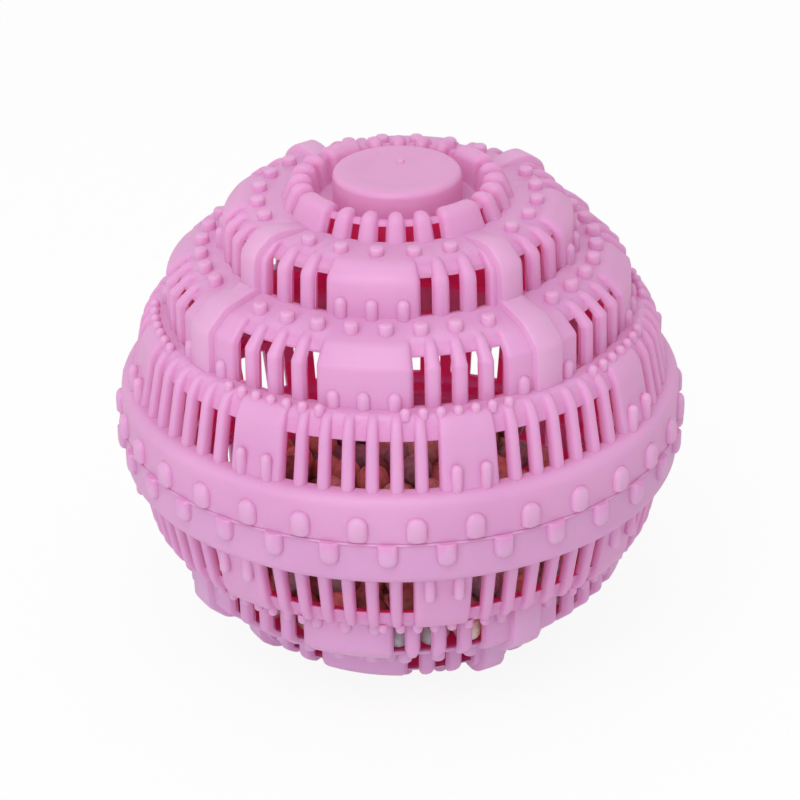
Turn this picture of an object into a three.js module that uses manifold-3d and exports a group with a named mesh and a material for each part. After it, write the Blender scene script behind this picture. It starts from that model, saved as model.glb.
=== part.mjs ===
// Laundry ball: two stepped, slotted half shells that push together at the equator over a charge of
// loose ceramic beads. Millimetres, +Z up, origin at the ball's centre on the parting plane.
import * as THREE from "three";
import { mergeVertices } from "three/addons/utils/BufferGeometryUtils.js";
import Module from "manifold-3d";

const wasm = await Module();
wasm.setup();

// Equator band and parting line
const BAND_RADIUS = 48.8;
const BAND_HEIGHT = 6.3;
const BAND_SHOULDER = 1.8;
const PARTING_GAP = 0.3;
const WALL = 1.8;

// Lap rim that holds the halves together: a tongue on the upper half inside the lower half's wall
const LAP_CLEARANCE = 0.3;
const TONGUE_THICKNESS = 1.3;
const TONGUE_DEPTH = 4.0;
const TONGUE_ROOT = 2.2;

// The three slotted tiers, from the equator up: foot radius, radius below the shoulder, height of the
// shoulder's lower edge, radius of the ledge's edge and height of the ledge there. The high tier hangs from
// the crown: the collar stands on its ledge. The middle ledge climbs a little to the high tier's foot.
const CROWN_HEIGHT = 44.8;
const COLLAR_HEIGHT = 5.0;
const HIGH_SHOULDER = 2.1;
const HIGH_LEDGE = CROWN_HEIGHT - COLLAR_HEIGHT;
const MIDDLE_LEDGE_RISE = 1.4;
const LOW_TIER = { foot: 46.9, brow: 44.9, browHeight: 17.3, edge: 43.2, ledge: 20.0 };
const MIDDLE_TIER = { foot: 40.2, brow: 40.0, browHeight: 27.0, edge: 36.8, ledge: 29.9 };
const HIGH_TIER = {
  foot: 30.3, brow: 29.9, browHeight: HIGH_LEDGE - HIGH_SHOULDER, edge: 27.1, ledge: HIGH_LEDGE,
};

// Crown: the collar of fingers round the central boss
const COLLAR_FOOT = 19.8;
const CREST_OUTER = 17.9;
const CREST_INNER = 14.7;
const COLLAR_INNER_FOOT = 13.6;
const BOSS_RADIUS = 11.0;
const BOSS_EDGE = 0.8;
const RECESS_DEPTH = 6.0;

// Slots: copies in a group, angular pitch in degrees, width, how far the ends stay from the ledge below
// and from the underside of the ledge above, and the angles of the groups' middles in one quarter
const LOW_SLOTS = { copies: 7, pitch: 5.05, width: 1.65, footMargin: 0.3, topMargin: 1.5, middles: [0, 45] };
const MIDDLE_SLOTS = {
  copies: 4, pitch: 6.6, width: 1.9, footMargin: 0.3, topMargin: 0.3, middles: [-22.85, 22.85],
};
const HIGH_SLOTS = {
  copies: 3, pitch: 9.5, width: 2.1, footMargin: 0.3, topMargin: 0.5, middles: [-26.8, 26.8],
};
const COLLAR_GAPS = { copies: 5, pitch: 14.6, width: 1.7, footMargin: 0.3, middles: [0] };

// Bullet-shaped pips round the band: number, width, height, and rise from the band
const BAND_PIPS = { copies: 32, width: 3.4, height: 4.3, rise: 1.2 };

// Straps: raised ribs over the ledges, halfway between the wide panels
const STRAP_ANGLE = 45;
const MIDDLE_STRAP_WIDTH = 5.6;
const HIGH_STRAP_WIDTH = 4.6;
const STRAP_RISE = 1.0;

// How deep pips and straps are rooted in the wall that carries them
const ROOT = 0.9;

// Ceramic beads: clearance to the shell and to each other, how far the top ring settles because the beads'
// flats lie inside their radius, and the most that a ring holds in the boss and in the recess round it. The
// ledge's ring holds twice as many as the recess.
const BEAD_RADIUS = 3.2;
const BEAD_CLEARANCE = 0.3;
const BEAD_GAP = 0.1;
const TOP_BEAD_SETTLE = 0.5;
const BOSS_BEAD_COUNT = 4;
const RECESS_BEAD_COUNT = 10;
const BEAD_ROUGHNESS = 0.55;
const BEAD_COLOURS = [
  { name: "cream", colour: 0xe8e0d0 },
  { name: "terracotta", colour: 0xa8614c },
  { name: "brown", colour: 0x4a2c24 },
  { name: "grey", colour: 0x8b8f96 },
];

// Facets and the shells' plastic
const SHELL_SEGMENTS = 24;
const SHELL_FINISH = { color: 0xe49bd2, roughness: 0.42 };

// Angles in degrees: the front is -Y, as seen from +X
const FULL_TURN = 360;
const FRONT = -90;
const QUARTERS = 4;
const QUARTER_TURN = FULL_TURN / QUARTERS;
const PIP_PITCH = FULL_TURN / BAND_PIPS.copies;
const RECESS_FLOOR = CROWN_HEIGHT - RECESS_DEPTH;
const FLAT_OF_FACET = Math.cos(Math.PI / SHELL_SEGMENTS);

const radians = THREE.MathUtils.degToRad;

// Solid from a closed three.js geometry: positions merged, empty triangles dropped, faces outwards
function solid(geometry) {
  const bare = geometry.clone();
  bare.deleteAttribute("normal");
  bare.deleteAttribute("uv");
  const merged = mergeVertices(bare);
  const position = merged.attributes.position;
  const index = merged.index.array;
  const corner = (i) => new THREE.Vector3().fromBufferAttribute(position, i);
  const triangles = [];
  let volume = 0;
  for (let i = 0; i < index.length; i += 3) {
    const [a, b, c] = [index[i], index[i + 1], index[i + 2]];
    if (a === b || b === c || c === a) continue;
    volume += corner(a).dot(corner(b).cross(corner(c)));
    triangles.push([a, b, c]);
  }
  const facing = volume < 0 ? triangles.map(([a, b, c]) => [a, c, b]) : triangles;
  return new wasm.Manifold(new wasm.Mesh({
    numProp: 3,
    vertProperties: Float32Array.from(position.array),
    triVerts: Uint32Array.from(facing.flat()),
  }));
}

// Three.js geometry back from a solid
function geometryOf(body) {
  const mesh = body.getMesh();
  const geometry = new THREE.BufferGeometry();
  geometry.setAttribute("position", new THREE.BufferAttribute(mesh.vertProperties, mesh.numProp));
  geometry.setIndex(new THREE.BufferAttribute(mesh.triVerts, 1));
  geometry.computeVertexNormals();
  return geometry;
}

// Geometry built with its outward radius along +X, turned to an angle measured from the front towards +X
function atAngle(geometry, degrees) {
  return geometry.clone().rotateZ(radians(degrees + FRONT));
}

// Angles of a row given for one quarter, repeated in every quarter
function allQuarters(angles) {
  return Array.from({ length: QUARTERS }, (_, q) => angles.map((a) => a + q * QUARTER_TURN)).flat();
}

// Angles of slots: copies at a pitch about each group's middle
function slotAngles({ copies, pitch, middles }) {
  const offsets = Array.from({ length: copies }, (_, i) => (i - (copies - 1) / 2) * pitch);
  return allQuarters(middles.flatMap((middle) => offsets.map((offset) => middle + offset)));
}

// Profile moved sideways by a distance, to the right of its direction of travel when positive
function offsetProfile(points, distance) {
  const lines = points.slice(1).map((end, i) => {
    const along = end.clone().sub(points[i]).normalize();
    const shift = new THREE.Vector2(along.y, -along.x).multiplyScalar(distance);
    return { start: points[i].clone().add(shift), end: end.clone().add(shift), along };
  });
  const moved = [lines[0].start];
  for (let i = 1; i < lines.length; i += 1) {
    const [before, after] = [lines[i - 1], lines[i]];
    const cross = before.along.cross(after.along);
    const reach = after.start.clone().sub(before.start).cross(after.along) / cross;
    moved.push(before.start.clone().addScaledVector(before.along, reach));
  }
  moved.push(lines.at(-1).end);
  return moved;
}

const point = (r, z) => new THREE.Vector2(r, z);

// Outside of one tier, from its ledge's edge over the shoulder and down to its foot on the ledge below
function tierProfile(tier, footHeight) {
  return [point(tier.edge, tier.ledge), point(tier.brow, tier.browHeight), point(tier.foot, footHeight)];
}

// The same tier with a square corner in place of its shoulder, which the inside follows
function squareTier(tier, footHeight) {
  const lean = (tier.brow - tier.foot) / (tier.browHeight - footHeight);
  const corner = tier.foot + lean * (tier.ledge - footHeight);
  return [point(corner, tier.ledge), point(tier.foot, footHeight)];
}

const BAND_TOP = BAND_HEIGHT + BAND_SHOULDER;
const HIGH_FOOT = MIDDLE_TIER.ledge + MIDDLE_LEDGE_RISE;
const lowTierProfile = tierProfile(LOW_TIER, BAND_TOP);
const middleTierProfile = tierProfile(MIDDLE_TIER, LOW_TIER.ledge);
const highTierProfile = tierProfile(HIGH_TIER, HIGH_FOOT);
const collarProfile = [
  point(COLLAR_INNER_FOOT, RECESS_FLOOR),
  point(CREST_INNER, CROWN_HEIGHT),
  point(CREST_OUTER, CROWN_HEIGHT),
  point(COLLAR_FOOT, HIGH_TIER.ledge),
];
const bandProfile = [
  point(BAND_RADIUS - BAND_SHOULDER, BAND_TOP),
  point(BAND_RADIUS, BAND_HEIGHT),
];

// Half shell's wall as a turned profile: outside from the boss to the rim, then the inside back to the
// axis. The tongue is on the upper half only.
function shellWall(rimHeight, hasTongue) {
  const outside = [
    point(0, CROWN_HEIGHT), point(BOSS_RADIUS - BOSS_EDGE, CROWN_HEIGHT),
    point(BOSS_RADIUS, CROWN_HEIGHT - BOSS_EDGE), point(BOSS_RADIUS, RECESS_FLOOR),
    ...collarProfile, ...highTierProfile, ...middleTierProfile, ...lowTierProfile, ...bandProfile,
    point(BAND_RADIUS, rimHeight),
  ];
  const square = [
    point(0, CROWN_HEIGHT), point(BOSS_RADIUS, CROWN_HEIGHT), point(BOSS_RADIUS, RECESS_FLOOR),
    ...collarProfile, ...squareTier(HIGH_TIER, HIGH_FOOT), ...squareTier(MIDDLE_TIER, LOW_TIER.ledge),
    ...squareTier(LOW_TIER, BAND_TOP), point(BAND_RADIUS, BAND_TOP), point(BAND_RADIUS, rimHeight),
  ];
  const inside = offsetProfile(square, WALL).reverse();
  const innerRadius = BAND_RADIUS - WALL;
  const tongueOuter = innerRadius * FLAT_OF_FACET - LAP_CLEARANCE;
  const tongueInner = tongueOuter - TONGUE_THICKNESS;
  const rim = hasTongue
    ? [
      point(tongueOuter, rimHeight), point(tongueOuter, rimHeight - TONGUE_DEPTH),
      point(tongueInner, rimHeight - TONGUE_DEPTH), point(tongueInner, rimHeight + TONGUE_ROOT),
      point(innerRadius, rimHeight + TONGUE_ROOT + innerRadius - tongueInner),
      ...inside.slice(1),
    ]
    : inside;
  const profile = [...outside, ...rim];
  const turned = new THREE.LatheGeometry(profile, SHELL_SEGMENTS, Math.PI / SHELL_SEGMENTS);
  return solid(turned.rotateX(Math.PI / 2));
}

// Cutter for one slot through a tier's wall
function slotCutter(tier, footHeight, slot) {
  const bottom = footHeight + slot.footMargin;
  const top = tier.ledge - WALL - slot.topMargin;
  const inner = Math.min(tier.foot, tier.brow, tier.edge) - 2 * WALL;
  const depth = tier.foot + WALL - inner;
  const cutter = new THREE.BoxGeometry(depth, slot.width, top - bottom);
  return cutter.translate(inner + depth / 2, 0, (top + bottom) / 2);
}

// Cutter for one gap between collar fingers, right over the crest
function collarGapCutter() {
  const bottom = HIGH_TIER.ledge + COLLAR_GAPS.footMargin;
  const top = CROWN_HEIGHT + WALL;
  const depth = COLLAR_FOOT + WALL - COLLAR_INNER_FOOT;
  const cutter = new THREE.BoxGeometry(depth, COLLAR_GAPS.width, top - bottom);
  return cutter.translate(COLLAR_INNER_FOOT + depth / 2, 0, (top + bottom) / 2);
}

// Bullet pip on the band: an upright outline that narrows to its top, square to the radius
function bandPip(rimHeight) {
  const half = BAND_PIPS.width / 2;
  const shoulder = BAND_PIPS.height - half;
  const outline = new THREE.Shape([
    point(-half, 0), point(half, 0), point(half, shoulder), point(0, BAND_PIPS.height), point(-half, shoulder),
  ]);
  const body = new THREE.ExtrudeGeometry(outline, { depth: BAND_PIPS.rise + ROOT, bevelEnabled: false });
  body.rotateX(Math.PI / 2).rotateZ(Math.PI / 2);
  return body.translate(BAND_RADIUS - ROOT, 0, rimHeight);
}

// Strap of even width, proud of a tier: out over the ledge from the wall behind it, over the tier's
// shoulder and down to the tier's foot
function strap(wallBehind, heightBehind, tier, footHeight, width) {
  const profile = [
    point(wallBehind - STRAP_RISE, heightBehind), ...tierProfile(tier, footHeight),
    point(tier.foot, footHeight - ROOT),
  ];
  const outline = new THREE.Shape([
    ...offsetProfile(profile, -STRAP_RISE), ...offsetProfile(profile, ROOT).reverse(),
  ]);
  const body = new THREE.ExtrudeGeometry(outline, { depth: width, bevelEnabled: false });
  return body.translate(0, 0, -width / 2).rotateX(Math.PI / 2);
}

// Pips and straps that stand proud of a half shell, in place
function relief(rimHeight) {
  const pip = bandPip(rimHeight);
  const pips = Array.from({ length: BAND_PIPS.copies }, (_, i) => atAngle(pip, i * PIP_PITCH));
  const straps = [
    strap(HIGH_TIER.foot, HIGH_FOOT, MIDDLE_TIER, LOW_TIER.ledge, MIDDLE_STRAP_WIDTH),
    strap(COLLAR_FOOT, HIGH_TIER.ledge, HIGH_TIER, HIGH_FOOT, HIGH_STRAP_WIDTH),
  ];
  const strapAngles = allQuarters([STRAP_ANGLE]);
  return [...pips, ...straps.flatMap((body) => strapAngles.map((angle) => atAngle(body, angle)))];
}

// Cutters for every slot and finger gap of a half shell, in place
function openings() {
  const rows = [
    [slotCutter(LOW_TIER, BAND_TOP, LOW_SLOTS), slotAngles(LOW_SLOTS)],
    [slotCutter(MIDDLE_TIER, LOW_TIER.ledge, MIDDLE_SLOTS), slotAngles(MIDDLE_SLOTS)],
    [slotCutter(HIGH_TIER, HIGH_FOOT, HIGH_SLOTS), slotAngles(HIGH_SLOTS)],
    [collarGapCutter(), slotAngles(COLLAR_GAPS)],
  ];
  return rows.flatMap(([body, angles]) => angles.map((a) => atAngle(body, a)));
}

function joined(geometries) {
  return wasm.Manifold.union(geometries.map(solid));
}

// Half shell with its crown up. Its rim stands at rimHeight above the parting plane.
function halfShell(rimHeight, hasTongue) {
  const wall = shellWall(rimHeight, hasTongue).add(joined(relief(rimHeight)));
  return geometryOf(wall.subtract(joined(openings())));
}

function shellMesh(name, rimHeight, hasTongue) {
  const mesh = new THREE.Mesh(halfShell(rimHeight, hasTongue), new THREE.MeshStandardMaterial(SHELL_FINISH));
  mesh.name = name;
  return mesh;
}

// Rings of beads on the lower half's floor, crown down: two in the boss, one on the recess floor, one on
// the high ledge, one in the valley between those two and one on top of it. Heights are those of the
// beads' centres, and each ring is turned so that its beads lie between those below.
function beadRings() {
  const seat = BEAD_RADIUS + BEAD_CLEARANCE;
  const spacing = 2 * BEAD_RADIUS + BEAD_GAP;
  const fitting = (radius, most) => Math.min(Math.floor(Math.PI / Math.asin(spacing / 2 / radius)), most);
  const onFloor = (outsideHeight) => -(outsideHeight - WALL) + seat;
  const onEdge = (outsideHeight, sideways) => -(outsideHeight - WALL) + Math.sqrt(seat ** 2 - sideways ** 2);
  const onRing = (ring, radius, turn) => {
    const apart = ring.radius ** 2 + radius ** 2 - 2 * ring.radius * radius * Math.cos(turn);
    return apart < spacing ** 2 ? ring.height + Math.sqrt(spacing ** 2 - apart) : -Infinity;
  };

  const coreRadius = (BOSS_RADIUS - WALL) * FLAT_OF_FACET - seat;
  const inCore = fitting(coreRadius, BOSS_BEAD_COUNT);
  const coreTurn = Math.PI / inCore;
  const core = { radius: coreRadius, height: onFloor(CROWN_HEIGHT), copies: inCore, turn: 0 };
  const coreTop = { ...core, height: onRing(core, coreRadius, coreTurn), turn: coreTurn };

  const recessRadius = (BOSS_RADIUS + COLLAR_INNER_FOOT) / 2;
  const inRecess = fitting(recessRadius, RECESS_BEAD_COUNT);
  const turn = Math.PI / inRecess;
  const recess = { radius: recessRadius, height: onFloor(RECESS_FLOOR), copies: inRecess, turn: 0 };
  const ledgeRadius = (HIGH_TIER.brow - WALL) * FLAT_OF_FACET - seat;
  const ledge = {
    radius: ledgeRadius, height: onFloor(HIGH_TIER.ledge), copies: 2 * inRecess, turn: turn / 2,
  };

  const cornerInset = (lean) => WALL * (Math.hypot(1, lean) - lean);
  const innerLean = (CREST_INNER - COLLAR_INNER_FOOT) / RECESS_DEPTH;
  const outerLean = (COLLAR_FOOT - CREST_OUTER) / COLLAR_HEIGHT;
  const recessEdge = COLLAR_INNER_FOOT + cornerInset(innerLean);
  const ledgeEdge = COLLAR_FOOT - cornerInset(outerLean);
  const valleyRadius = (recessRadius + ledgeRadius) / 2;
  const valleyHeight = Math.max(
    onEdge(RECESS_FLOOR, Math.min(valleyRadius - recessEdge, seat)),
    onEdge(HIGH_TIER.ledge, Math.min(ledgeEdge - valleyRadius, seat)),
    onRing(recess, valleyRadius, turn),
    onRing(ledge, valleyRadius, turn / 2),
  );
  const valley = { radius: valleyRadius, height: valleyHeight, copies: inRecess, turn };
  const topHeight = Math.max(onRing(recess, valleyRadius, 0), onRing(valley, valleyRadius, turn));
  const top = { ...valley, height: topHeight - TOP_BEAD_SETTLE, turn: 0 };
  return [core, coreTop, recess, ledge, valley, top];
}

function beadMeshes() {
  const geometry = geometryOf(solid(new THREE.IcosahedronGeometry(BEAD_RADIUS)));
  const places = beadRings().flatMap(({ radius, height, copies, turn }) =>
    Array.from({ length: copies }, (_, i) => {
      const angle = turn + (2 * Math.PI * i) / copies;
      return new THREE.Vector3(radius * Math.cos(angle), radius * Math.sin(angle), height);
    }));
  return places.map((place, i) => {
    const kind = BEAD_COLOURS[i % BEAD_COLOURS.length];
    const number = Math.floor(i / BEAD_COLOURS.length) + 1;
    const glaze = new THREE.MeshStandardMaterial({ color: kind.colour, roughness: BEAD_ROUGHNESS });
    const mesh = new THREE.Mesh(geometry, glaze);
    mesh.name = `bead_${kind.name}_${String(number).padStart(2, "0")}`;
    mesh.position.copy(place);
    return mesh;
  });
}

// The lower half is the same moulding without the tongue, crown down and turned by half a pip's pitch
const lowerHalf = new THREE.Group();
lowerHalf.add(shellMesh("lower_shell", PARTING_GAP, false));
lowerHalf.rotation.set(Math.PI, 0, radians(PIP_PITCH / 2));

const ball = new THREE.Group();
ball.add(shellMesh("upper_shell", 0, true), lowerHalf, ...beadMeshes());

export default ball;
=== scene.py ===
"""Looks of a laundry ball: two stepped, slotted half shells of pink plastic over loose ceramic beads.

Shapes are worked out in millimetres with numpy and put into meshes in metres. The angle of a column is
measured from the front, -Y, towards +X.
"""

import logging
import math
from dataclasses import dataclass, field
from enum import Enum

import bpy
import numpy as np
from mathutils import Matrix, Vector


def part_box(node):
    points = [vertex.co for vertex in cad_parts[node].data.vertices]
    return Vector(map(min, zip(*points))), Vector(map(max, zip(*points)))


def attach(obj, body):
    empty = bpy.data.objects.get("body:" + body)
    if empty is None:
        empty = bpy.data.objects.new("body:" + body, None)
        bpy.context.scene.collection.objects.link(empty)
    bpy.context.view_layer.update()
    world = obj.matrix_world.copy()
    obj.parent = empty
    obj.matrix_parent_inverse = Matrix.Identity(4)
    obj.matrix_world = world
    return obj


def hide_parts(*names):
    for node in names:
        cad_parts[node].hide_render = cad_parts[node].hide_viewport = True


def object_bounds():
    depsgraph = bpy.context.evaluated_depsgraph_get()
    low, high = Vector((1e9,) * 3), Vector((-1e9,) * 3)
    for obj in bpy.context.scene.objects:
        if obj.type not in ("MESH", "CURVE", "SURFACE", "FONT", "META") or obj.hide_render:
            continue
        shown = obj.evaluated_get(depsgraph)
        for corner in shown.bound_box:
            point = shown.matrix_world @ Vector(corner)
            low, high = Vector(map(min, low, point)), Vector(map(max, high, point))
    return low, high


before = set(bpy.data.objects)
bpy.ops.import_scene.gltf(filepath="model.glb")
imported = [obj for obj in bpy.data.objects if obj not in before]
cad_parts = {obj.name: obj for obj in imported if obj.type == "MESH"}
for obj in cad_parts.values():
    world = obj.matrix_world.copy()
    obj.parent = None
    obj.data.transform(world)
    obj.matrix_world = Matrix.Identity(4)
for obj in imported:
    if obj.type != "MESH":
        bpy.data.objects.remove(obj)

CAD_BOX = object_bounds()
METRES = 0.001
QUARTERS = 4
FULL_TURN = 360.0
FRONT = -90.0
TINY = 1e-6
WHITE = (1.0, 1.0, 1.0, 1.0)
UNIT = (0.0, 1.0)

log = logging.getLogger("laundry_ball")

Array = np.ndarray
Span = tuple[float, float]
Colour = tuple[float, float, float, float]
Column = tuple[float, float, float, float, float, bool]
Inputs = dict[str | int, object]
Socket = bpy.types.NodeSocket


class Half(Enum):
    """Which half of the ball a shell is."""

    UPPER = "upper"
    LOWER = "lower"


class BeadColour(Enum):
    """Colours of the ceramic beads, by the names of their nodes."""

    CREAM = "cream"
    TERRACOTTA = "terracotta"
    BROWN = "brown"
    GREY = "grey"


@dataclass(frozen=True)
class Solid:
    """Closed surface: points in millimetres and arrays of faces with equal numbers of corners."""

    points: Array
    faces: tuple[Array, ...]

    def turned(self, matrix: Array) -> "Solid":
        """Solid with every point multiplied by a rotation matrix."""
        return Solid(self.points @ matrix.T, self.faces)

    def mesh(self, name: str) -> bpy.types.Mesh:
        """Blender mesh of the solid, in metres.

        Args:
            name: Name of the mesh.

        Returns:
            The new mesh.
        """
        mesh = bpy.data.meshes.new(name)
        polygons = [row for block in self.faces for row in block.tolist()]
        mesh.from_pydata((self.points * METRES).tolist(), [], polygons)
        mesh.update()
        return mesh


def linked(name: str, data: bpy.types.ID) -> bpy.types.Object:
    """New object in the scene's own collection.

    Args:
        name: Name of the object.
        data: Its mesh, lamp or camera.

    Returns:
        The object.
    """
    thing = bpy.data.objects.new(name, data)
    bpy.context.scene.collection.objects.link(thing)
    return thing


def heaped(solids: list[Solid]) -> Solid:
    """Several solids as one, with their points and faces in a row.

    Args:
        solids: Solids that stay apart from each other.

    Returns:
        One solid with all their islands.
    """
    starts = np.cumsum([0] + [len(solid.points) for solid in solids[:-1]])
    faces = [block + start for solid, start in zip(solids, starts) for block in solid.faces]
    return Solid(np.concatenate([solid.points for solid in solids]), tuple(faces))


def bearing(degrees: Array) -> Array:
    """Angle from the front in degrees, as an angle from +X in radians."""
    return np.radians(np.asarray(degrees) + FRONT)


def around(count: int) -> Array:
    """Even angles of a full turn, in radians."""
    return np.linspace(0.0, 2.0 * math.pi, count, endpoint=False)


def all_round(angles: tuple[float, ...]) -> Array:
    """Angles of one quarter, repeated in all four."""
    quarters = np.arange(QUARTERS)[:, None] * FULL_TURN / QUARTERS
    return (quarters + np.array(angles)[None, :]).ravel()


def fanned(middles: tuple[float, ...], pitch: float, each_side: int) -> tuple[float, ...]:
    """Angles at a pitch round each middle, so many on each side of it."""
    return tuple(middle + k * pitch for middle in middles for k in range(-each_side, each_side + 1))


def mirrored(first: float, pitch: float, count: int) -> tuple[float, ...]:
    """Angles that start at a first one and follow at a pitch, on both sides of the front."""
    return tuple(side * (first + k * pitch) for side in (-1, 1) for k in range(count))


def axis_turns(angles: Array) -> Array:
    """Matrices that turn points about the ball's axis by angles in radians."""
    cos, sin, zero, one = np.cos(angles), np.sin(angles), np.zeros(len(angles)), np.ones(len(angles))
    return np.moveaxis(np.array([[cos, -sin, zero], [sin, cos, zero], [zero, zero, one]]), -1, 0)


def spun(radius: Array, height: Array, angle: Array) -> Array:
    """Points at a radius and height, turned about the ball's axis.

    Args:
        radius: Distances from the axis.
        height: Heights.
        angle: Angles from +X in radians, of a shape that broadcasts with the others.

    Returns:
        Points with the coordinates in the last axis.
    """
    radius, height, angle = np.broadcast_arrays(radius, height, angle)
    return np.stack([radius * np.cos(angle), radius * np.sin(angle), height], axis=-1)


def quads(index: Array) -> Array:
    """Faces between neighbouring rows of a grid of point numbers whose last column meets the first."""
    after = np.roll(index, -1, axis=1)
    return np.stack([index[:-1], after[:-1], after[1:], index[1:]], axis=-1)


def copied(faces: tuple[Array, ...], copies: int, points: int) -> tuple[Array, ...]:
    """Faces of copies of a shape whose points lie in a row, so many to each copy."""
    starts = np.arange(copies)[:, None, None] * points
    return tuple((block[None] + starts).reshape(-1, block.shape[1]) for block in faces)


def lathe(profile: Array, segments: int) -> tuple[Array, Array]:
    """Points of a profile turned about the ball's axis, and the grid of their numbers."""
    points = spun(profile[:, :1], profile[:, 1:], around(segments)[None, :]).reshape(-1, 3)
    return points, np.arange(len(points)).reshape(-1, segments)


def loop_ring(profile: Array, segments: int) -> Solid:
    """Ring turned from a closed profile that runs up on the outside and down on the inside."""
    points, index = lathe(profile, segments)
    return Solid(points, (quads(np.vstack([index, index[:1]])).reshape(-1, 4),))


def capped_turning(profile: Array, segments: int) -> Solid:
    """Solid turned from a profile whose first and last points lie on the axis.

    Args:
        profile: Radius and height from one pole to the other, up on the outside.
        segments: Number of facets round the axis.

    Returns:
        The closed solid, with fans of triangles at both poles.
    """
    points, index = lathe(profile[1:-1], segments)
    after = np.roll(index, -1, axis=1)
    poles = np.array([[0.0, 0.0, profile[0, 1]], [0.0, 0.0, profile[-1, 1]]])
    first = np.stack([np.full(segments, len(points)), after[0], index[0]], axis=-1)
    last = np.stack([np.full(segments, len(points) + 1), index[-1], after[-1]], axis=-1)
    return Solid(np.concatenate([points, poles]), (quads(index).reshape(-1, 4), first, last))


def posts(out: Array, side: Array, up: Array, angles: Array) -> Solid:
    """Equal posts round the ball's axis: stacked rings of points, closed by one face at each end.

    Args:
        out: Radius of the points of a post, levels by sides.
        side: Their sideways places.
        up: Their heights.
        angles: Angles of the posts from +X in radians.

    Returns:
        All the posts as one solid.
    """
    rings = np.stack(np.broadcast_arrays(out, side, up), axis=-1)
    index = np.arange(out.size).reshape(out.shape)
    faces = quads(index).reshape(-1, 4), index[:1, ::-1], index[-1:]
    copies = np.einsum("nij,kj->nki", axis_turns(angles), rings.reshape(-1, 3))
    return Solid(copies.reshape(-1, 3), copied(faces, len(angles), out.size))


def walled_ring(outer: Array, inner: Array, is_open: Array) -> Solid:
    """Closed ring between an outer and an inner grid, with some of its cells left open.

    Rows run from the foot up and inwards, columns round the axis. A cell that isn't open has an outer and
    an inner face, and every edge between a solid and an open cell gets a wall from outer to inner.

    Args:
        outer: Points of the outer surface, rows by columns by three.
        inner: Points of the inner surface, of the same shape.
        is_open: Cells that are open, one row fewer than the grids.

    Returns:
        The closed ring.
    """
    rows, columns, _ = outer.shape
    out = np.arange(rows * columns).reshape(rows, columns)
    back = out + rows * columns
    out_next, back_next = np.roll(out, -1, 1), np.roll(back, -1, 1)
    solid = ~is_open
    skin = quads(out)[solid]
    lining = np.stack([back[:-1], back[1:], back_next[1:], back_next[:-1]], -1)[solid]
    before = np.roll(solid, 1, axis=1)
    rising = np.stack([out[:-1], back[:-1], back[1:], out[1:]], -1)[before & ~solid]
    falling = np.stack([out[:-1], out[1:], back[1:], back[:-1]], -1)[~before & solid]
    none = np.zeros((1, columns), dtype=bool)
    below, above = np.vstack([none, solid]), np.vstack([solid, none])
    lids = np.stack([out, out_next, back_next, back], -1)[below & ~above]
    sills = np.stack([out_next, out, back, back_next], -1)[above & ~below]
    faces = np.concatenate([skin, lining, rising, falling, lids, sills])
    return Solid(np.concatenate([outer.reshape(-1, 3), inner.reshape(-1, 3)]), (faces,))


def nearest_on(points: Array, path: Array) -> Array:
    """Nearest points on every straight run of a path.

    Args:
        points: Places in the plane of radius and height.
        path: Corners of the path in the same plane.

    Returns:
        One nearest point for each place and run.
    """
    start, along = path[:-1], np.diff(path, axis=0)
    share = np.einsum("nsk,sk->ns", points[:, None] - start[None], along) / np.sum(along**2, axis=1)
    return start[None] + np.clip(share, 0.0, 1.0)[:, :, None] * along[None]


def height_over(points: Array, paths: list[Array]) -> Array:
    """Height of points over a set of paths, below zero on their left.

    The nearest run of the nearest path gives the distance, and the side of that run gives the sign.

    Args:
        points: Places in the plane of radius and height.
        paths: Corners of each path, with the outside on the right of its run.

    Returns:
        One height for each place.
    """
    heights = []
    for path in paths:
        away = points[:, None] - nearest_on(points, path)
        distance = np.linalg.norm(away, axis=2)
        run = np.argmin(distance, axis=1)
        along = np.diff(path, axis=0)[run]
        step = np.take_along_axis(away, run[:, None, None], axis=1)[:, 0]
        outside = step[:, 0] * along[:, 1] - step[:, 1] * along[:, 0] >= 0.0
        heights.append(np.where(outside, 1.0, -1.0) * distance.min(axis=1))
    table = np.stack(heights)
    return np.take_along_axis(table, np.argmin(np.abs(table), axis=0)[None], axis=0)[0]


@dataclass(frozen=True)
class Corner:
    """Corner of a profile: radius, height and the radius that rounds it off."""

    radius: float
    height: float
    round: float = 0.0


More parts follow.
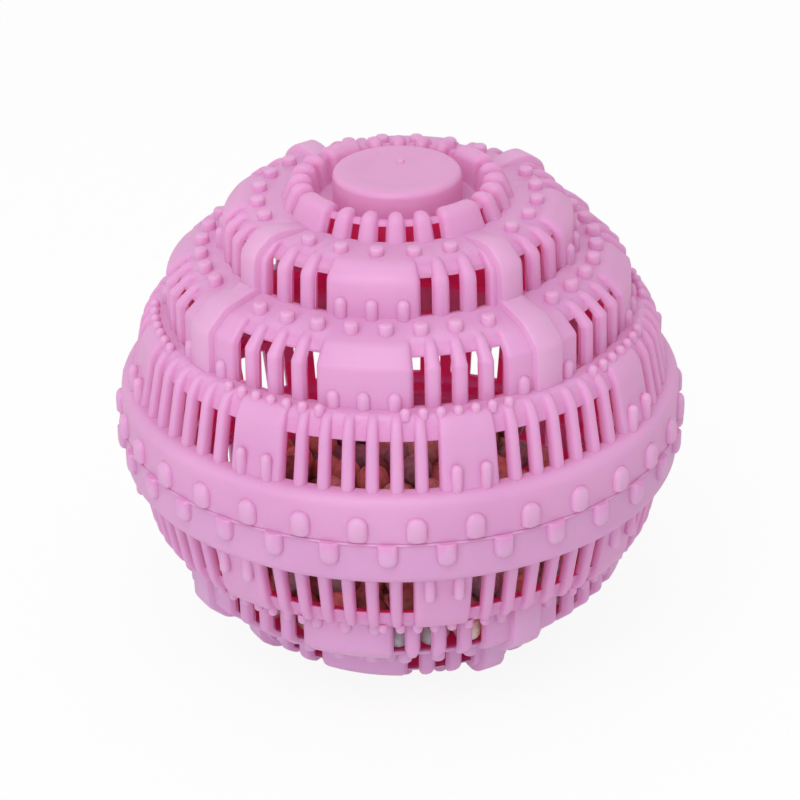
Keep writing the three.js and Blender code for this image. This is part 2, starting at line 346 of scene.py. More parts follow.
@dataclass
class Profile:
    """Rounded profile in the plane of radius and height, with the outside on the right of its run.

    Each corner is replaced by an arc that touches both of its sides, sampled at even angles.
    """

    corners: tuple[Corner, ...]
    arc_steps: int = 5
    path: Array = field(init=False)
    run: Array = field(init=False)
    arcs: list[Span] = field(init=False)

    def __post_init__(self) -> None:
        """Rounds the corners and measures the distance along the path."""
        places = np.array([[c.radius, c.height] for c in self.corners])
        sides = zip(places, places[1:], places[2:], self.corners[1:])
        arcs = [self._arc(before, corner, after, spec.round) for before, corner, after, spec in sides]
        self.path = np.concatenate([places[:1], *arcs, places[-1:]])
        steps = np.linalg.norm(np.diff(self.path, axis=0), axis=1)
        self.run = np.concatenate([[0.0], np.cumsum(steps)])
        ends = np.cumsum([len(arc) for arc in arcs])
        self.arcs = [(self.run[end - len(arc) + 1], self.run[end]) for arc, end in zip(arcs, ends)]

    def _arc(self, before: Array, corner: Array, after: Array, radius: float) -> Array:
        """Arc that touches both sides of a corner.

        Args:
            before: The corner before.
            corner: The corner that is rounded off.
            after: The corner after.
            radius: Radius of the arc.

        Returns:
            Points of the arc, or the corner itself where the radius is zero.
        """
        if radius <= 0.0:
            return corner[None, :]
        first = (before - corner) / np.linalg.norm(before - corner)
        second = (after - corner) / np.linalg.norm(after - corner)
        half = math.acos(float(np.clip(first @ second, -1.0, 1.0))) / 2.0
        middle = (first + second) / np.linalg.norm(first + second)
        centre = corner + middle * radius / math.sin(half)
        start = corner + first * radius / math.tan(half) - centre
        end = corner + second * radius / math.tan(half) - centre
        sweep = math.atan2(start[0] * end[1] - start[1] * end[0], float(start @ end))
        turn = np.linspace(0.0, sweep, self.arc_steps)[:, None]
        across = np.array([-start[1], start[0]])
        return centre + np.cos(turn) * start + np.sin(turn) * across

    def at(self, run: Array) -> Array:
        """Radius and height at distances along the path."""
        return np.stack([np.interp(run, self.run, self.path[:, k]) for k in (0, 1)], axis=-1)

    def facing(self, run: Array, reach: float = 0.05) -> Array:
        """Unit normals at distances along the path, to the right of its run.

        Args:
            run: Distances along the path.
            reach: Half of the short chord that gives the direction.

        Returns:
            Radial and upward parts of each normal.
        """
        along = self.at(np.minimum(run + reach, self.run[-1])) - self.at(np.maximum(run - reach, 0.0))
        along /= np.linalg.norm(along, axis=1, keepdims=True)
        return np.stack([along[:, 1], -along[:, 0]], axis=-1)

    def where_height(self, height: float) -> float:
        """Distance along the path at which it first rises to a height."""
        top = int(np.argmax(self.path[:, 1]))
        return float(np.interp(height, self.path[: top + 1, 1], self.run[: top + 1]))

    def rows(self, marks: list[float], extra: Array, gap: float) -> Array:
        """Distances along the path for the rows of a grid, with those of the arcs.

        Args:
            marks: Distances that are always rows.
            extra: Further distances.
            gap: Least gap between a mark and an arc's or further row.

        Returns:
            The rising distances.
        """
        arcs = [np.linspace(start, end, self.arc_steps) for start, end in self.arcs]
        fill = np.concatenate([*arcs, extra])
        clear = np.min(np.abs(fill[:, None] - np.array(marks)[None, :]), axis=1) > gap
        rows = np.sort(np.concatenate([marks, fill[clear]]))
        return rows[np.append(True, np.diff(rows) > TINY)]

    def from_foot(self, radius: float, height: float) -> Array:
        """Path whose buried start is moved up to a foot."""
        return np.concatenate([[[radius, height]], self.path[1:]])


@dataclass(frozen=True)
class Slots:
    """Rows of slots with rounded bars between them.

    The angles are those of one quarter, width is the slot's, crown the radius that rounds off the bars and
    depth how deep the grooves are above and below the openings.
    """

    angles: tuple[float, ...]
    width: float
    crown: float
    depth: float

    def all_angles(self) -> Array:
        """Angles of every slot round the ring, in rising order."""
        return np.sort(all_round(self.angles) % FULL_TURN)

    def pitch(self) -> float:
        """Least angle between neighbouring slots."""
        return float(np.min(np.diff(self.all_angles())))


@dataclass(frozen=True)
class Strap:
    """Raised rib across a ring, halfway between the wide panels: its angle, width and rise."""

    angle: float
    width: float
    rise: float


@dataclass(frozen=True)
class Rows:
    """Rows of a ring's grid, as arrays with one entry each.

    A row has a distance along the ring's profile, an inner point, the radius at which the bars are
    measured, the depth of the grooves and the rise of the straps.
    """

    run: Array
    inside: Array
    narrow: Array
    groove: Array
    rise: Array


@dataclass
class Columns:
    """Columns of a ring's grid, as arrays with one entry each.

    A column stands at an angle, plus a sideways distance and a share of the bars' crown radius, both in
    millimetres across. It lies below the bars' crown by a share of the crown radius, and a strap lifts it
    by a share of the strap's rise. The cell after a slot's left edge is the slot. The reach is the least
    radius at which the columns keep their width.
    """

    slots: Slots
    strap: Strap | None
    reach: float
    panel_step: float = 2.4
    panel_pitches: float = 1.4
    panel_margin: float = 0.75
    draft: float = 0.12
    bar_share: float = 0.44
    least_crown: float = 0.05
    least_share: float = 0.1
    rounding: tuple[float, ...] = (0.0, 0.15, 0.5, 1.0)
    strap_edges: tuple[Span, ...] = ((0.2, 0.0), (0.02, 0.4), (-0.18, 0.85), (-0.5, 1.0))
    angle: Array = field(init=False)
    aside: Array = field(init=False)
    crowns: Array = field(init=False)
    drop: Array = field(init=False)
    lift: Array = field(init=False)
    before_slot: Array = field(init=False)

    def __post_init__(self) -> None:
        """Lists the columns from one slot to the next, right round the ring."""
        angles = self.slots.all_angles()
        rows: list[Column] = []
        for left, right in zip(angles, np.append(angles[1:], angles[0] + FULL_TURN)):
            rows.extend(self._between(float(left), float(right)))
        *shape, slot = np.array(rows, dtype=float).T
        self.angle, self.aside, self.crowns, self.drop, self.lift = shape
        self.before_slot = slot.astype(bool)

    def _between(self, left: float, right: float) -> list[Column]:
        """Columns of the bar, panel or strap between two neighbouring slots.

        Args:
            left: Angle of the slot before it.
            right: Angle of the slot after it.

        Returns:
            The columns from one slot's edge to the other's.
        """
        edge = self.slots.width / 2.0
        middle = (left + right) / 2.0
        place = middle % (FULL_TURN / QUARTERS)
        has_strap = self.strap is not None and math.isclose(place, self.strap.angle)
        room = self._crown_share(right - left) if has_strap else 1.0
        shares = [room * share for share in self.rounding]
        drops = [room * (1.0 - math.sqrt(1.0 - (1.0 - share) ** 2)) for share in self.rounding]
        curve = list(zip(shares, drops))
        up = [(left, edge, 0.0, math.inf, 0.0, False)]
        up += [(left, edge + self.draft, share, drop, 0.0, False) for share, drop in curve]
        down = [(right, -edge - self.draft, -share, drop, 0.0, False) for share, drop in curve[::-1]]
        down.append((right, -edge, 0.0, math.inf, 0.0, True))
        return up + (self._strap(middle) if has_strap else self._panel(left, right)) + down

    def _crown_share(self, apart: float) -> float:
        """Share of the crown radius that fits between a strap and the slots beside it.

        Args:
            apart: Angle between the slots.

        Returns:
            The share, 1 where there is room for the whole radius.
        """
        half = math.radians(apart) / 2.0 * self.reach
        taken = (self.slots.width + self.strap.width) / 2.0 + self.draft + self.strap_edges[0][0]
        return float(np.clip((half - taken) / self.slots.crown, self.least_share, 1.0))

    def _strap(self, middle: float) -> list[Column]:
        """Columns of a strap, with its edges rounded off.

        Args:
            middle: Angle of its middle.

        Returns:
            The columns from one side to the other.
        """
        half = self.strap.width / 2.0
        near = [(middle, -half - out, 0.0, 0.0, share, False) for out, share in self.strap_edges]
        far = [(middle, half + out, 0.0, 0.0, share, False) for out, share in self.strap_edges[::-1]]
        return near + [(middle, 0.0, 0.0, 0.0, 1.0, False)] + far

    def _panel(self, left: float, right: float) -> list[Column]:
        """Columns inside a wide panel between two slots, at even steps.

        Args:
            left: Angle of the slot before it.
            right: Angle of the slot after it.

        Returns:
            The columns, none where there is only a bar.
        """
        pitch = self.slots.pitch()
        if right - left < self.panel_pitches * pitch:
            return []
        start, end = left + self.panel_margin * pitch, right - self.panel_margin * pitch
        count = max(int(round((end - start) / self.panel_step)), 2)
        return [(float(angle), 0.0, 0.0, 0.0, 0.0, False) for angle in np.linspace(start, end, count)]

    def bearings(self, radius: Array, crown: Array) -> Array:
        """Angles of every column in every row, in radians from +X, by the rows' radius and crown radius."""
        across = self.aside[None, :] + self.crowns[None, :] * crown[:, None]
        return bearing(self.angle)[None, :] + across / np.maximum(radius, self.reach)[:, None]

    def ring(self, profile: Profile, rows: Rows, opening: Span) -> Solid:
        """Closed ring over a profile, with slots, bars and straps.

        A bar is rounded off by a quarter circle at each side, down to the groove's depth at most. A strap
        stands up by its rise.

        Args:
            profile: Smooth outside of the ring.
            rows: Rows of the grid.
            opening: Distances along the profile between which the slots are open.

        Returns:
            The ring.
        """
        outside, facing = profile.at(rows.run), profile.facing(rows.run)
        bar = math.radians(self.slots.pitch()) * np.maximum(rows.narrow, self.reach) - self.slots.width
        crown = np.clip(self.bar_share * bar - self.draft, self.least_crown, self.slots.crown)
        falls = np.minimum(self.drop[None, :] * crown[:, None], rows.groove[:, None])
        height = rows.rise[:, None] * self.lift[None, :] - falls
        radius, level = outside[:, :1] + height * facing[:, :1], outside[:, 1:] + height * facing[:, 1:]
        outer = spun(radius, level, self.bearings(outside[:, 0], crown))
        inner = spun(rows.inside[:, :1], rows.inside[:, 1:], self.bearings(rows.inside[:, 0], crown))
        start, stop = opening
        through = (rows.run[:-1] > start - TINY) & (rows.run[1:] < stop + TINY)
        return walled_ring(outer, inner, through[:, None] & self.before_slot[None, :])


@dataclass
class Tier:
    """One slotted step of a half shell: its wall, rounded shoulder and ledge."""

    foot: float
    foot_height: float
    brow: float
    brow_height: float
    edge: float
    ledge: float
    ledge_end: float
    sill: float
    lintel: float
    slots: Slots
    strap: Strap | None = None
    strap_stop: float = 0.0
    ledge_rise: float = 0.0
    wall: float = 1.8
    bury: float = 0.8
    brow_round: float = 1.6
    edge_round: float = 1.4
    fade: float = 1.3
    fade_early: float = 0.0
    fade_rows: tuple[float, ...] = (0.3, 0.65, 1.0)
    thin_share: float = 0.7
    bend_share: float = 0.25
    row_gap: float = 0.2

    def profile(self) -> Profile:
        """Outside of the step, from below its foot to the end of its ledge."""
        return Profile((
            Corner(self.foot, self.foot_height - self.bury),
            Corner(self.brow, self.brow_height, self.brow_round),
            Corner(self.edge, self.ledge, self.edge_round),
            Corner(self.ledge_end, self.ledge + self.ledge_rise),
        ))

    def skin(self) -> Array:
        """Outside of the step from its foot on, as a path."""
        return self.profile().from_foot(self.foot, self.foot_height)

    def lining(self, profile: Profile, rows: Array) -> Array:
        """Inside of the wall and underside of the ledge, one point for each row.

        Below the ledge's underside a row's inner point is level with its outer one. Above it, the points run
        from the inside corner to straight below the ledge.

        Args:
            profile: Outside of the step.
            rows: Distances of the rows along it.

        Returns:
            Radius and height of each inner point.
        """
        outside = profile.at(rows)
        under = self.ledge - self.wall
        lean = (self.brow - self.foot) / (self.brow_height - self.foot_height + self.bury)
        corner = self.foot + lean * (under - self.foot_height + self.bury) - self.wall
        level = self.foot - self.wall + lean * (outside[:, 1] - self.foot_height + self.bury)
        turn, flat = profile.where_height(under), profile.arcs[-1][1]
        flat_radius = min(float(profile.at(np.array([flat]))[0, 0]), corner - self.bend_share * self.wall)
        bend = np.interp(rows, [turn, flat], [corner, flat_radius])
        radius = np.where(rows <= turn, level, np.where(rows <= flat, bend, np.minimum(outside[:, 0], bend)))
        height = np.where(rows <= flat, np.minimum(outside[:, 1], under), outside[:, 1] - self.wall)
        return np.stack([radius, height], axis=-1)

    def solid(self) -> Solid:
        """Closed ring of the step. Its grooves fade out on the ledge, and a strap may end in a round.

        Returns:
            The ring with its slots, bars and straps.
        """
        profile = self.profile()
        foot, sill, lintel = [profile.where_height(h) for h in (self.foot_height, self.sill, self.lintel)]
        marks = [0.0, foot, sill, (sill + lintel) / 2.0, lintel, profile.run[-1]]
        flat = profile.arcs[-1][1]
        run = profile.rows(marks, flat + self.fade * np.array(self.fade_rows), self.row_gap)
        inside = self.lining(profile, run)
        thin = flat - self.fade_early
        fades = [thin - self.edge_round, thin, thin + self.fade]
        groove = self.slots.depth * np.interp(run, fades, [1.0, self.thin_share, 0.0])
        rise = np.full(len(run), self.strap.rise if self.strap else 0.0)
        if self.strap_stop:
            past = (profile.at(run)[:, 0] - self.strap_stop) / (self.strap.width / 2.0)
            rise *= np.sqrt(np.clip(past, 0.0, 1.0))
        columns = Columns(self.slots, self.strap, self.edge - self.fade)
        return columns.ring(profile, Rows(run, inside, inside[:, 0], groove, rise), (sill, lintel))


@dataclass
class Collar:
    """Ring of fingers round the boss: outer wall, arched crest, inner wall and the floor of the recess."""

    foot: float = 19.8
    ledge: float = 39.8
    crest_outer: float = 17.9
    crest_inner: float = 14.7
    inner_foot: float = 13.6
    crown: float = 43.9
    floor: float = 38.8
    floor_end: float = 9.9
    gap_foot: float = 39.9
    gap_top: float = 42.4
    wall: float = 1.8
    bury: float = 0.8
    crest_round: float = 1.9
    floor_round: float = 0.7
    row_gap: float = 0.12
    gaps: Slots = Slots(fanned(middles=(0.0,), pitch=14.7, each_side=2), width=1.4, crown=1.25, depth=1.3)

    def profile(self) -> Profile:
        """Outside of the collar, from below its foot over the crest to the end of the recess floor."""
        slope = (self.foot - self.crest_outer) / (self.crown - self.ledge)
        return Profile((
            Corner(self.foot + slope * self.bury, self.ledge - self.bury),
            Corner(self.crest_outer, self.crown, self.crest_round),
            Corner(self.crest_inner, self.crown, self.crest_round),
            Corner(self.inner_foot, self.floor, self.floor_round),
            Corner(self.floor_end, self.floor),
        ), arc_steps=6)

    def skin(self) -> Array:
        """Outside of the collar from its foot on, as a path."""
        return self.profile().from_foot(self.foot, self.ledge)

    def solid(self) -> Solid:
        """Closed ring of the collar. Its grooves fade out down the inner wall.

        Returns:
            The ring with the gaps between its fingers.
        """
        profile = self.profile()
        opening = profile.where_height(self.gap_foot), profile.where_height(self.gap_top)
        run = profile.rows([0.0, *opening, profile.run[-1]], np.array([]), self.row_gap)
        outside = profile.at(run)
        inside = outside - self.wall * profile.facing(run)
        narrow = np.minimum(inside[:, 0], outside[:, 0])
        _, inner_crest, floor_bend = profile.arcs
        groove = self.gaps.depth * np.interp(run, [inner_crest[1], floor_bend[0]], [1.0, 0.0])
        columns = Columns(self.gaps, None, self.inner_foot)
        return columns.ring(profile, Rows(run, inside, narrow, groove, np.zeros(len(run))), opening)


@dataclass
class Boss:
    """Round boss in the middle of the crown, hollow below, with a shallow dish and a gate mark in it."""

    radius: float = 11.0
    crown: float = 44.8
    floor: float = 37.2
    wall: float = 1.8
    edge_round: float = 1.1
    dish: float = 8.6
    dish_slope: float = 0.4
    dish_depth: float = 0.55
    dish_steps: int = 10
    nub: float = 0.75
    nub_place: float = 4.2
    nub_steps: int = 5
    nub_sides: int = 16
    segments: int = 96

    def skin(self) -> Array:
        """Outside of the boss from its foot to the middle of the dish, which sinks in a cosine wave.

        Returns:
            Corners of the path.
        """
        edge = Profile((
            Corner(self.radius, self.floor),
            Corner(self.radius, self.crown, self.edge_round),
            Corner(self.dish, self.crown),
        ), arc_steps=6)
        swing = np.linspace(0.0, 1.0, self.dish_steps + 1)[1:]
        sink = self.dish_depth * (1.0 - np.cos(np.clip(swing / self.dish_slope, 0.0, 1.0) * math.pi)) / 2.0
        return np.concatenate([edge.path, np.stack([self.dish * (1.0 - swing), self.crown - sink], axis=-1)])

    def solid(self) -> Solid:
        """Closed cup of the boss.

        Returns:
            The cup, hollow below.
        """
        inner, under = self.radius - self.wall, self.crown - self.wall
        back = np.array([[0.0, under], [inner, under], [inner, self.floor]])
        return capped_turning(np.concatenate([back, self.skin()]), self.segments)

    def gate_mark(self) -> Solid:
        """Small dome in the dish, behind its middle.

        Returns:
            The dome, rooted in the boss.
        """
        swing = np.linspace(0.0, math.pi / 2.0, self.nub_steps)
        low = self.crown - self.dish_depth
        dome = np.stack([self.nub * np.cos(swing), low + (self.crown - low) * np.sin(swing)], axis=-1)
        dome[-1, 0] = 0.0
        foot = np.array([[0.0, low - self.nub], [self.nub, low - self.nub]])
        mark = capped_turning(np.concatenate([foot, dome]), self.nub_sides)
        return Solid(mark.points + np.array([0.0, self.nub_place, 0.0]), mark.faces)


@dataclass
class Band:
    """Equator band of a half shell: a fine lip on the lower one's rim, and the lap rim in the upper one."""

    radius: float = 48.8
    top: float = 8.1
    shoulder: float = 2.0
    lip: float = 0.3
    lip_height: float = 0.3
    wall: float = 1.8
    top_end: float = 45.1
    tongue_outer: float = 46.3
    tongue_inner: float = 45.0
    tongue_depth: float = 4.0
    tongue_root: float = 2.2
    tongue_bevel: float = 0.4
    tongue_seat: float = 0.05
    segments: int = 192

    def skin(self, rim: float, rim_edge: float, has_lip: bool) -> Array:
        """Outside of the band from the rim's inner edge to its top, as a path.

        Args:
            rim: Height of the rim over the parting plane.
            rim_edge: Radius that rounds off the rim's outer edge.
            has_lip: Whether the rim stands out in a lip.

        Returns:
            Radius and height of each point.
        """
        lip = self.lip if has_lip else 0.0
        corners = [Corner(self.radius - self.wall, rim), Corner(self.radius + lip, rim, rim_edge)]
        if has_lip:
            corners.append(Corner(self.radius + lip, rim + self.lip_height, lip / 2.0))
            corners.append(Corner(self.radius, rim + self.lip_height + lip, lip / 2.0))
        corners += [Corner(self.radius, self.top, self.shoulder), Corner(self.top_end, self.top)]
        return Profile(tuple(corners), arc_steps=7).path

    def solid(self, outside: Array) -> Solid:
        """Closed ring of the band behind the path of its outside."""
        back = [[self.top_end, self.top - self.wall], [self.radius - self.wall, self.top - self.wall]]
        return loop_ring(np.concatenate([outside, back]), self.segments)

    def tongue(self) -> Solid:
        """Closed ring of the lap rim, rooted in the band's wall.

        Returns:
            The ring, with both edges of its free end bevelled.
        """
        inner, outer = self.tongue_inner, self.tongue_outer
        tip, bevel, seat = -self.tongue_depth, self.tongue_bevel, self.tongue_seat
        face, rooted = self.radius - self.wall, self.radius - self.wall / 2.0
        lift = self.tongue_root + self.radius - self.wall - inner
        return loop_ring(np.array([
            [inner, tip + bevel], [inner + bevel, tip], [outer - bevel, tip], [outer, tip + bevel],
            [outer, seat], [rooted, seat], [rooted, lift], [face, lift], [inner, self.tongue_root],
        ]), self.segments)


@dataclass(frozen=True)
class Pips:
    """Row of studs: angles in one quarter, ring radius, foot, half widths, height and dome.

    The crown is the share of the half widths over which the top is rounded off: 1 makes a full dome, and
    less leaves a flat top.
    """

    angles: tuple[float, ...]
    ring: float
    foot: float
    across: float
    depth: float
    height: float
    dome: float
    crown: float = 1.0
    bury: float = 0.7
    sides: int = 12
    swings: tuple[float, ...] = (0.0, 30.0, 58.0, 80.0)

    def solid(self) -> Solid:
        """All studs of the row: upright elliptic posts with rounded tops.

        Returns:
            The studs as one solid.
        """
        swing = np.radians(np.array(self.swings))
        spread = np.concatenate([[1.0], 1.0 - self.crown * (1.0 - np.cos(swing))])[:, None]
        dome = self.height - self.dome + self.dome * np.sin(swing)
        levels = np.concatenate([[-self.bury], dome])[:, None]
        out = self.depth * spread * np.cos(around(self.sides))
        side = self.across * spread * np.sin(around(self.sides))
        return posts(self.ring + out, side, self.foot + levels, bearing(all_round(self.angles)))


@dataclass
class BandPips:
    """Bullet-shaped pips round the band: upright posts, half sunk in it."""

    copies: int = 32
    width: float = 3.4
    height: float = 4.3
    rise: float = 1.2
    band: float = Band.radius
    dome: float = 1.6
    squareness: float = 2.6
    sides: int = 20
    swings: tuple[float, ...] = (0.0, 26.0, 48.0, 67.0, 82.0)

    def solid(self, foot: float, foot_edge: float) -> Solid:
        """All pips: posts with domed tops, whose outline is a superellipse.

        Args:
            foot: Height of their foot over the parting plane.
            foot_edge: Radius that rounds off the foot.

        Returns:
            The pips as one solid.
        """
        half = self.width / 2.0
        swing = np.radians(np.array(self.swings))
        spread = np.concatenate([[1.0 - foot_edge / half, 1.0], np.cos(swing)])[:, None]
        dome = self.height - self.dome + self.dome * np.sin(swing)
        levels = np.concatenate([[0.0, foot_edge], dome])[:, None]
        waves = np.stack([np.cos(around(self.sides)), np.sin(around(self.sides))])
        out, side = np.sign(waves) * np.abs(waves) ** (2.0 / self.squareness)
        angles = bearing(np.arange(self.copies) * FULL_TURN / self.copies)
        return posts(self.band + self.rise * spread * out, half * spread * side, foot + levels, angles)


LOW_TIER = Tier(
    foot=46.9, foot_height=Band.top, brow=44.9, brow_height=17.3, edge=43.2, ledge=20.0, ledge_end=39.7,
    sill=7.8, lintel=16.4, brow_round=4.0, edge_round=2.6, fade_early=1.6,
    slots=Slots(fanned(middles=(0.0, 45.0), pitch=5.05, each_side=3), width=1.8, crown=0.95, depth=1.1),
)
MIDDLE_TIER = Tier(
    foot=40.2, foot_height=20.0, brow=40.0, brow_height=27.0, edge=36.8, ledge=29.9, ledge_end=29.8,
    ledge_rise=1.5, sill=19.7, lintel=28.7, brow_round=1.2, edge_round=2.2,
    slots=Slots(mirrored(first=12.95, pitch=6.6, count=4), width=1.9, crown=1.05, depth=1.1),
    strap=Strap(angle=45.0, width=5.4, rise=1.2),
)
HIGH_TIER = Tier(
    foot=30.3, foot_height=31.3, brow=29.9, brow_height=37.7, edge=27.1, ledge=39.8, ledge_end=19.0,
    sill=31.0, lintel=38.4, brow_round=2.4, edge_round=2.4,
    slots=Slots(mirrored(first=17.3, pitch=9.5, count=3), width=2.0, crown=1.1, depth=1.1),
    strap=Strap(angle=45.0, width=4.2, rise=1.2), strap_stop=20.4,
)
TIERS = (LOW_TIER, MIDDLE_TIER, HIGH_TIER)
LEDGE_STUDS = (
    Pips((0.0, 14.7, -14.7, 29.4, -29.4),
         ring=23.8, foot=HIGH_TIER.ledge, across=1.25, depth=1.25, height=1.35, dome=0.5, crown=0.4),
    Pips((4.8, -4.8, 14.4, -14.4, 24.0, -24.0, 33.6, -33.6),
         ring=33.8, foot=30.5, across=1.25, depth=1.25, height=1.7, dome=0.5, crown=0.4),
    Pips(mirrored(first=9.5, pitch=3.9, count=7),
         ring=42.2, foot=LOW_TIER.ledge, across=0.85, depth=0.85, height=1.2, dome=0.7),
)
WALL_BULLETS = (
    Pips((19.5, 25.5, 64.5, 70.5),
         ring=46.6, foot=LOW_TIER.foot_height, across=0.95, depth=0.95, height=4.6, dome=1.0),
    Pips((0.0, 7.2, -7.2, 38.4, -38.4),
         ring=40.15, foot=MIDDLE_TIER.foot_height, across=1.12, depth=0.95, height=3.0, dome=1.1),
    Pips((0.0, 9.8, -9.8),
         ring=30.25, foot=HIGH_TIER.foot_height, across=1.08, depth=0.95, height=3.4, dome=1.0),
)


@dataclass
class HalfShell:
    """One moulded half of the ball."""

    half: Half
    parting_gap: float = 0.05
    upper_edge: float = 0.08
    lower_edge: float = 0.3
    pip_lift: float = 0.5
    turn: float = FULL_TURN / BandPips.copies / 2.0
    sharp: float = 38.0

    def rim(self) -> Span:
        """Height of the rim over the parting plane, and the radius that rounds it off."""
        return (0.0, self.upper_edge) if self.half is Half.UPPER else (self.parting_gap, self.lower_edge)

    def skins(self) -> list[Array]:
        """Smooth outside of the moulding, crown up, as the paths of its steps."""
        band = Band().skin(*self.rim(), self.half is Half.LOWER)
        return [band, *[tier.skin() for tier in TIERS], Collar().skin(), Boss().skin()]

    def solids(self) -> list[Solid]:
        """Closed parts of the moulding, crown up. The upper pips end clear of the lower rim's lip.

        Returns:
            The parts, which overlap each other.
        """
        band, boss = Band(), Boss()
        rim, edge = self.rim()
        lift = self.pip_lift if self.half is Half.UPPER else 0.0
        pips = BandPips().solid(rim + lift, max(edge, lift))
        parts = [band.solid(self.skins()[0]), *[tier.solid() for tier in TIERS]]
        parts += [Collar().solid(), boss.solid(), boss.gate_mark(), pips]
        parts.append(heaped([row.solid() for row in LEDGE_STUDS + WALL_BULLETS]))
        if self.half is Half.UPPER:
            parts.append(band.tongue())
        return parts

    def placed(self) -> list[Solid]:
        """Parts where the half belongs: the lower half is turned by half a pip's pitch, then over.

        Returns:
            The parts in the ball's frame.
        """
        if self.half is Half.UPPER:
            return self.solids()
        spin = axis_turns(np.radians([self.turn]))[0]
        over = np.diag([1.0, -1.0, -1.0])
        return [solid.turned(over @ spin) for solid in self.solids()]

    def lay_relief(self, mesh: bpy.types.Mesh, layer: str) -> None:
        """Stores how far each point of the moulding stands over its smooth outside, in millimetres.

        Args:
            mesh: The moulding's mesh.
            layer: Name of the layer that holds the heights.
        """
        places = np.empty(3 * len(mesh.vertices))
        mesh.vertices.foreach_get("co", places)
        places = places.reshape(-1, 3) / METRES
        rise = places[:, 2] if self.half is Half.UPPER else -places[:, 2]
        flat = np.stack([np.hypot(places[:, 0], places[:, 1]), rise], axis=-1)
        heights = height_over(flat, self.skins())
        mesh.attributes.new(layer, "FLOAT", "POINT").data.foreach_set("value", heights)

    def build(self, finish: "ShellPlastic") -> bpy.types.Object:
        """Moulding fused from its parts, dressed and set on its body.

        Args:
            finish: The shell's plastic.

        Returns:
            The finished piece.
        """
        name = f"{self.half.value}_moulding"
        piece = fused(name, self.placed())
        mesh = piece.data
        mesh.set_sharp_from_angle(angle=math.radians(self.sharp))
        mesh.materials.append(finish.material())
        self.lay_relief(mesh, finish.relief_layer)
        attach(piece, f"{self.half.value}_half")
        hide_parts(f"{self.half.value}_shell")
        return piece


def fused(name: str, solids: list[Solid]) -> bpy.types.Object:
    """One object from overlapping solids.

    Args:
        name: Name of the object.
        solids: Closed solids; the first is joined with each of the others in turn.

    Returns:
        The object, with smooth faces.
    """
    piece = linked(name, solids[0].mesh(name))
    tools = []
    for number, solid in enumerate(solids[1:]):
        tool = linked(f"{name}_{number}", solid.mesh(f"{name}_{number}"))
        join = piece.modifiers.new(f"join_{number}", "BOOLEAN")
        join.operation = "UNION"
        join.solver = "MANIFOLD"
        join.object = tool
        tools.append(tool)
    graph = bpy.context.evaluated_depsgraph_get()
    mesh = bpy.data.meshes.new_from_object(piece.evaluated_get(graph))
    piece.modifiers.clear()
    piece.data = mesh
    mesh.name = name
    mesh.materials.clear()
    for tool in tools:
        data = tool.data
        bpy.data.objects.remove(tool)
        bpy.data.meshes.remove(data)
    mesh.shade_smooth()
    return piece


